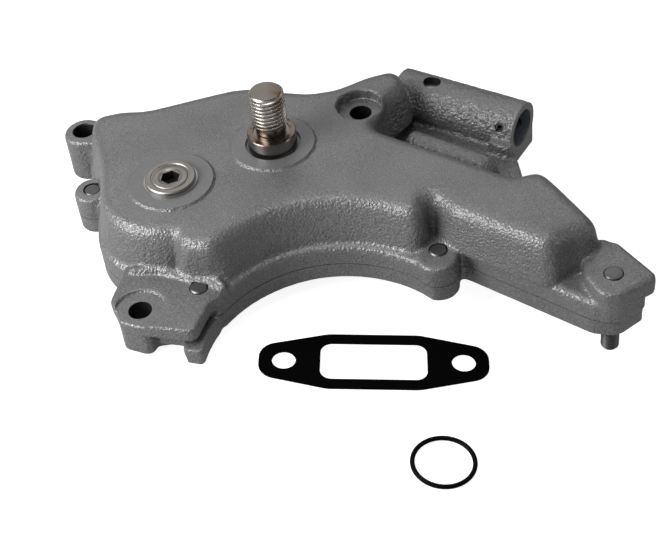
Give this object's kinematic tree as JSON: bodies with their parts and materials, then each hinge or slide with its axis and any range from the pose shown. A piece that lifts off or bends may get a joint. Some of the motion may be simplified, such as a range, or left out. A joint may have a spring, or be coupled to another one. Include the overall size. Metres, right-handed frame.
{
  "type": "engine oil pump",
  "caption": "Gear oil pump for an engine: domed iron housing on a flat cover, meshed gears, threaded drive shaft, suction arm and piston relief valve.",
  "frame": {"origin": "where the drive axis meets the flat rear face of the cover", "axes": "+Z along the drive shaft to its threaded end, +X along the length of the casting towards the suction arm, +Y towards the back edge with the relief valve tube"},
  "size_m": [0.2558, 0.2365, 0.0892],
  "materials": {
    "cast_iron": "as cast, machined faces",
    "shaft_steel": "ground and turned",
    "gear_steel": "ground",
    "bush_bronze": "turned bronze",
    "plug_steel": "turned",
    "seal_aluminium": "plain washer",
    "valve_steel": "ground",
    "screw_steel": "zinc plated",
    "pin_steel": "spring steel",
    "gasket_fibre": "pressed fibre sheet",
    "ring_rubber": "moulded rubber"
  },
  "bodies": {
    "pump": {"front_housing": "cast_iron", "rear_cover": "cast_iron", "idler_shaft": "shaft_steel", "drive_front_bush": "bush_bronze", "drive_rear_bush": "bush_bronze", "idler_plug": "plug_steel", "plug_seal_washer": "seal_aluminium", "relief_spring": "valve_steel", "relief_spring_seat": "valve_steel", "relief_roll_pin": "pin_steel", "cover_screws": "screw_steel", "dowel_pins": "pin_steel", "suction_stud": "screw_steel", "suction_gasket": "gasket_fibre", "outlet_o_ring": "ring_rubber"},
    "drive": {"drive_shaft": "shaft_steel", "drive_gear": "gear_steel", "drive_key": "shaft_steel", "shaft_circlip": "valve_steel"},
    "idler": {"idler_gear": "gear_steel", "idler_bush": "bush_bronze"},
    "relief_valve": {"relief_piston": "valve_steel"}
  },
  "joints": [
    {"name": "drive_spin", "type": "hinge", "parent": "pump", "child": "drive", "pos_m": [0, 0, 0.02], "axis": [0, 0, 1], "continuous": true},
    {"name": "idler_spin", "type": "hinge", "parent": "pump", "child": "idler", "pos_m": [-0.04702, -0.01814, 0.02], "axis": [0, 0, 1], "continuous": true},
    {"name": "relief_slide", "type": "slide", "parent": "pump", "child": "relief_valve", "axis": [0.8111, -0.585, 0], "range_m": [0, 0.009], "stiffness_N_per_m": 15000, "springref_m": -0.009, "deforming": ["relief_spring"]}
  ],
  "couplings": [
    {"joint": "idler_spin", "follows": "drive_spin", "ratio": -1}
  ]
}
